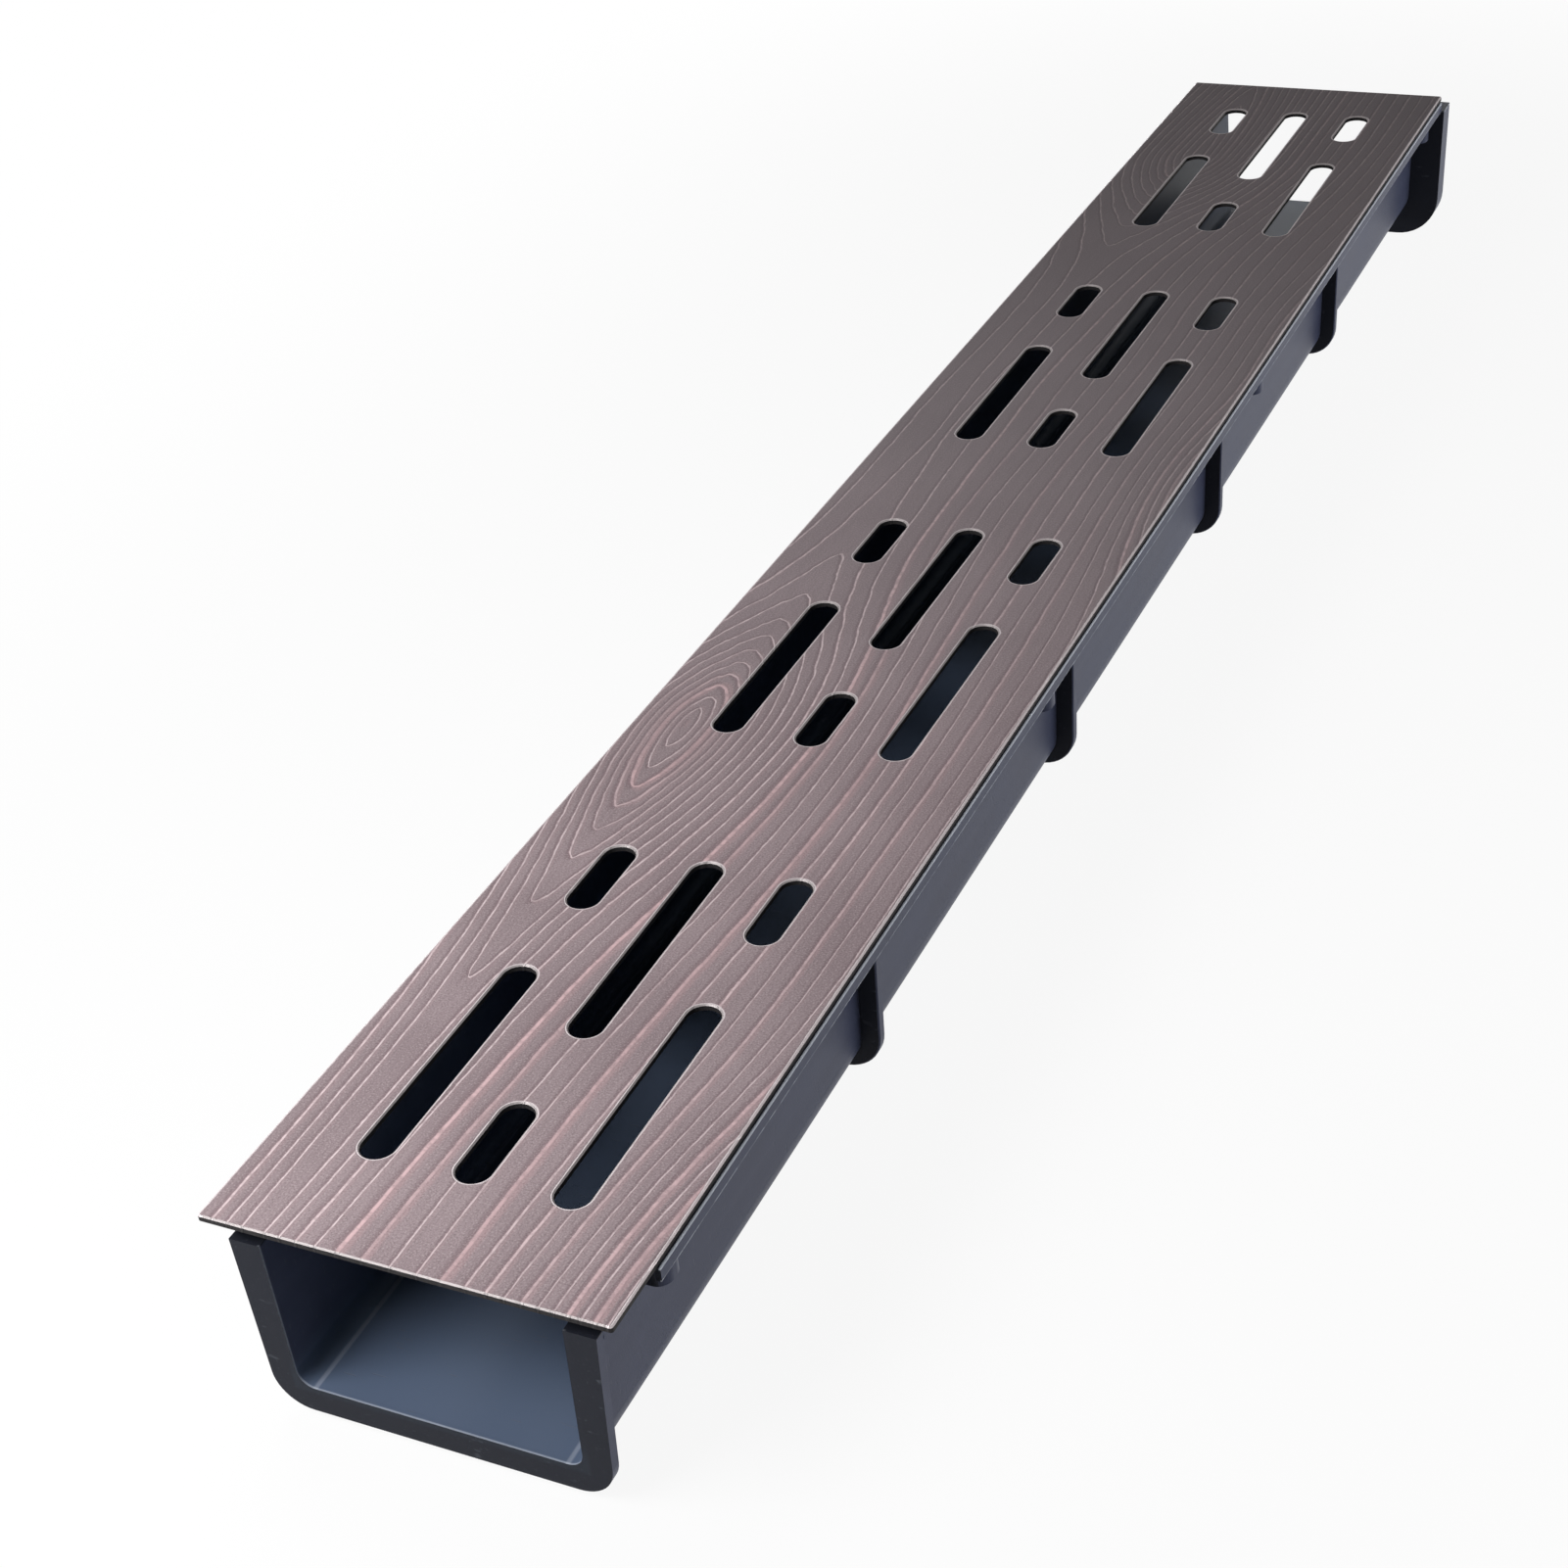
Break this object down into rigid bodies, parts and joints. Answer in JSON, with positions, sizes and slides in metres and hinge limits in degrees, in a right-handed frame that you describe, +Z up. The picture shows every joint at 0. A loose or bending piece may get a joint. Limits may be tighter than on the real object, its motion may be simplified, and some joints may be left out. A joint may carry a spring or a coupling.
{
  "type": "channel drain",
  "caption": "Straight drainage channel: a ribbed plastic trough with a socket at one end, under a flat slotted cover sheet with a wood grain finish.",
  "frame": {"origin": "on the lowest face, under the socket collar, at the middle of the length and of the width", "axes": "+Y along the channel from the plain ring to the socket, +Z up through the cover, +X across"},
  "size_m": [0.1454, 1.0104, 0.08],
  "materials": {
    "channel_plastic": "moulded, dark slate grey, satin",
    "cover_sheet": "coated sheet with a taupe and pale pink wood grain, pale cut edges"
  },
  "bodies": {
    "root": {"channel": "channel_plastic", "cover": "cover_sheet"}
  },
  "joints": []
}
